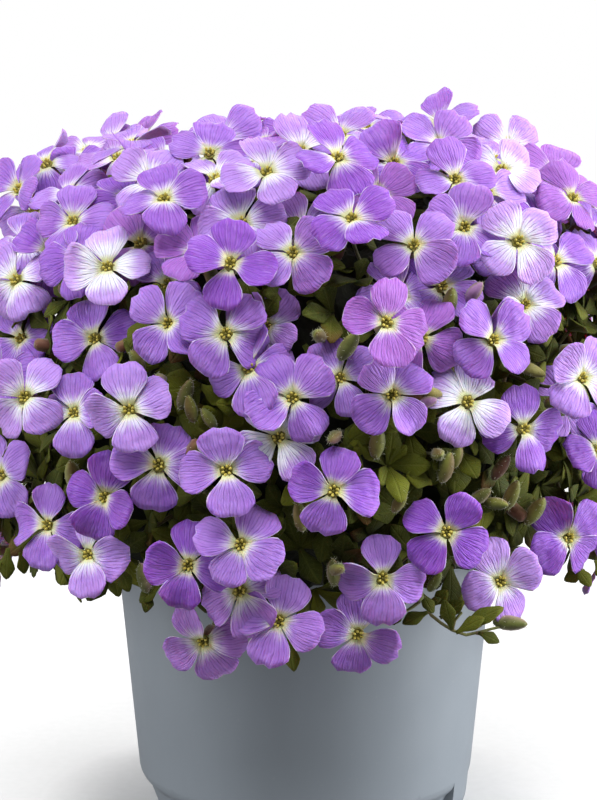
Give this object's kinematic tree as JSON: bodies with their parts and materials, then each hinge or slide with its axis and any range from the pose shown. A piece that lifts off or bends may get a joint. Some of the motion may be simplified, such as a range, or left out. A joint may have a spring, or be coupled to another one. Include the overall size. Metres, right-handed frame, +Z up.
{
  "type": "potted aubrieta",
  "caption": "Mound of violet four-petalled aubrieta blooms on leafy shoots, rooted in potting mix in a round blue-grey plastic nursery pot with feet and drain holes.",
  "frame": {"origin": "centre of the pot's flat underside, on the surface it stands on", "axes": "+Z up along the pot's axis, +X to the right and -Y towards the side that the picture shows"},
  "size_m": [0.2139, 0.2227, 0.2234],
  "materials": {
    "pot": "satin",
    "soil": "matte",
    "bloom": "matte",
    "foliage": "matte",
    "throat": "matte"
  },
  "bodies": {
    "root": {"pot": "pot", "soil": "soil", "shoot_01": "bloom", "shoot_02": "bloom", "shoot_03": "bloom", "shoot_04": "bloom", "shoot_05": "bloom", "shoot_06": "bloom", "shoot_07": "bloom", "shoot_08": "bloom", "shoot_09": "bloom", "shoot_10": "bloom", "shoot_11": "bloom", "shoot_12": "bloom", "shoot_13": "bloom", "shoot_14": "bloom", "shoot_15": "bloom", "shoot_16": "bloom", "shoot_17": "bloom", "shoot_18": "bloom", "shoot_19": "bloom", "shoot_20": "bloom", "shoot_21": "bloom", "shoot_22": "bloom", "shoot_23": "bloom", "shoot_24": "bloom", "shoot_25": "bloom", "shoot_26": "bloom", "shoot_27": "bloom", "shoot_28": "bloom", "shoot_29": "bloom", "shoot_30": "bloom", "shoot_31": "bloom", "shoot_32": "bloom", "shoot_33": "bloom", "shoot_34": "bloom", "shoot_35": "bloom", "shoot_36": "bloom"}
  },
  "joints": []
}
